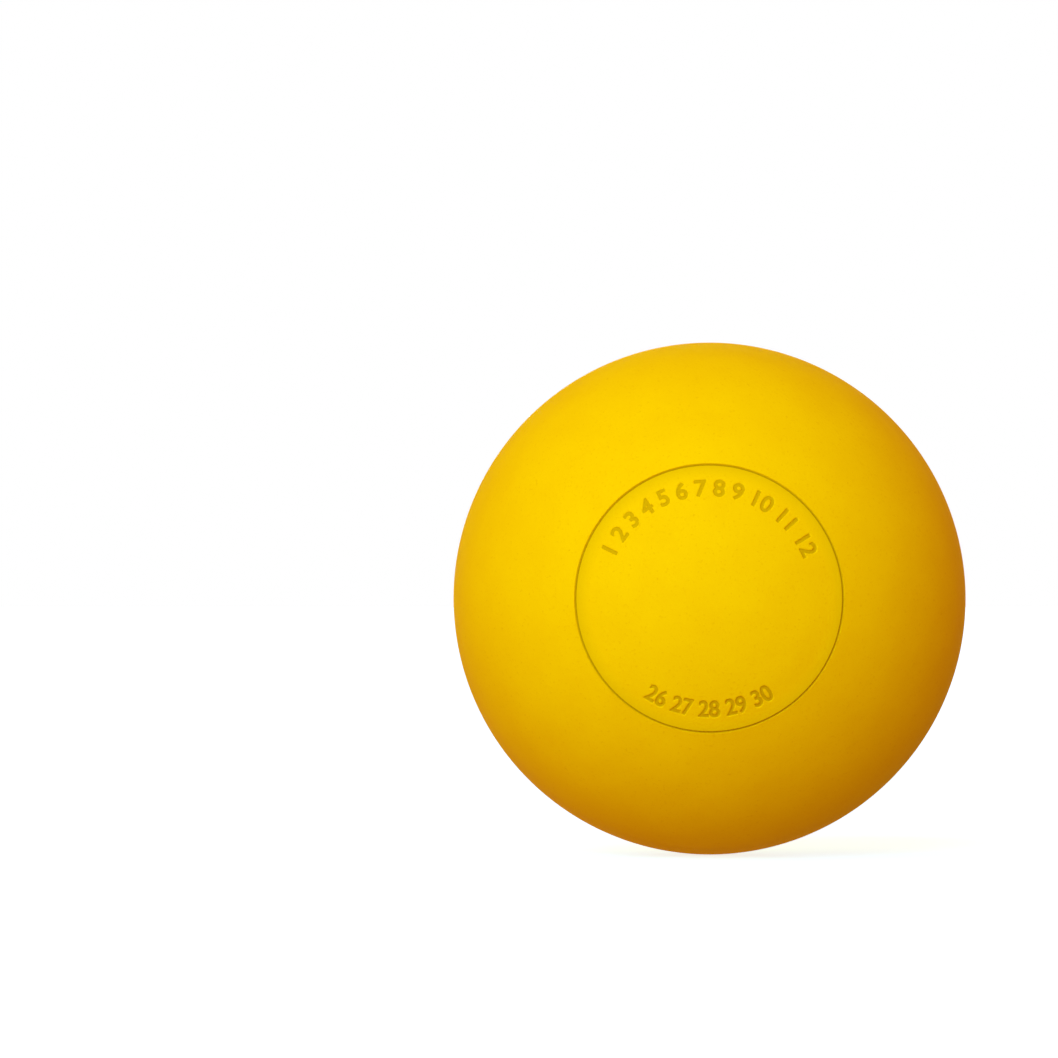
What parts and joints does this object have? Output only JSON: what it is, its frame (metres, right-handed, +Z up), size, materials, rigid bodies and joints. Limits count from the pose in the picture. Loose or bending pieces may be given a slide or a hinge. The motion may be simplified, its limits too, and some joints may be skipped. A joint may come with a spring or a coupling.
{
  "type": "lacrosse ball",
  "caption": "Solid rubber lacrosse ball: a core inside half covers that meet at a parting line, with a shallow round face inside a fine ring on each side.",
  "frame": {"origin": "centre of the ball", "axes": "+Z up; -Y is the outward normal in the middle of the larger face, and +Y in the middle of the smaller one"},
  "size_m": [0.0634, 0.0632, 0.0634],
  "materials": {
    "cover_rubber": "matte",
    "core_rubber": "matte"
  },
  "bodies": {
    "root": {"core": "core_rubber", "front_cover": "cover_rubber", "back_cover": "cover_rubber"}
  },
  "joints": []
}
